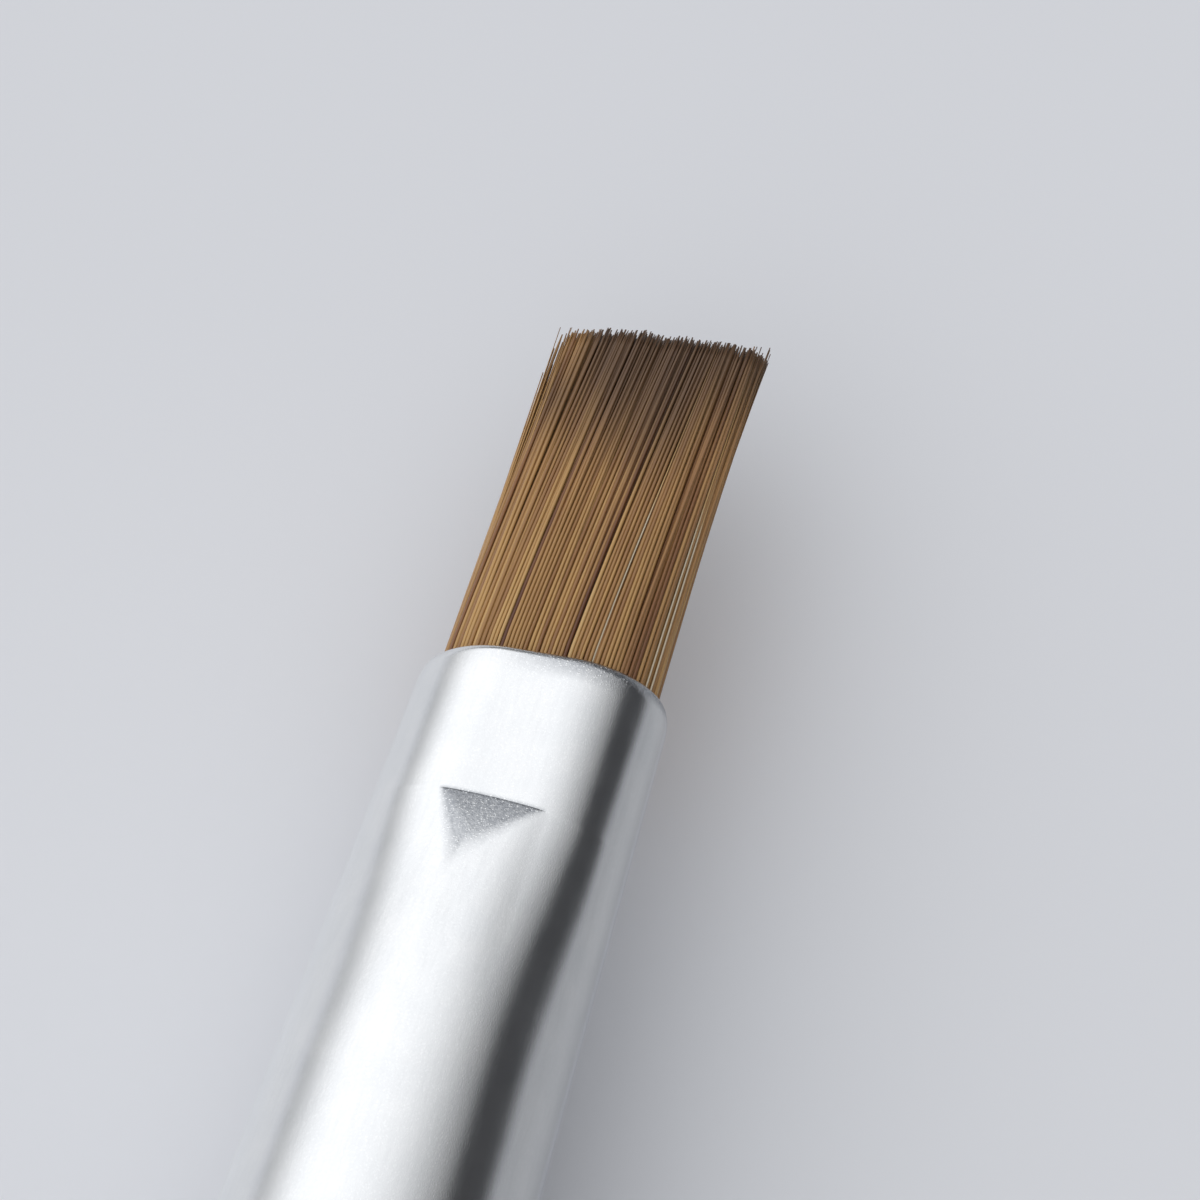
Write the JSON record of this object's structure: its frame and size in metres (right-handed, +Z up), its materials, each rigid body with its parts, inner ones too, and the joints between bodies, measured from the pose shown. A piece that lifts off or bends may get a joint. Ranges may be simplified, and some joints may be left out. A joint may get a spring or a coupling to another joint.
{
  "type": "lip brush",
  "caption": "Slim lip brush with a flat square-cut brown tuft in a pressed conical aluminium ferrule, a tube handle and a pull-off cap carried on its tail.",
  "frame": {"origin": "on the surface that the brush lies on, below the middle of its length and width", "axes": "+X along the brush to the tip of the tuft, +Y across the flat of the tuft, +Z up, square to the pressed flat of the ferrule"},
  "size_m": [0.1466, 0.01, 0.01],
  "materials": {
    "filament": "brown synthetic filament, soft sheen",
    "adhesive": "cured resin",
    "ferrule_metal": "satin, fine grain where the die pressed it",
    "tube_metal": "satin",
    "plastic": "black, moulded",
    "liner": "dark grey, moulded"
  },
  "bodies": {
    "brush": {"bristle_tuft": "filament", "root_adhesive": "adhesive", "ferrule": "ferrule_metal", "neck_core": "plastic", "barrel_tube": "tube_metal", "tail_plug": "plastic"},
    "cap": {"cap_shell": "tube_metal", "cap_liner": "liner"}
  },
  "joints": [
    {"name": "cap_pull", "type": "slide", "parent": "brush", "child": "cap", "axis": [-1, 0, 0], "range_m": [0, 0.05]}
  ]
}
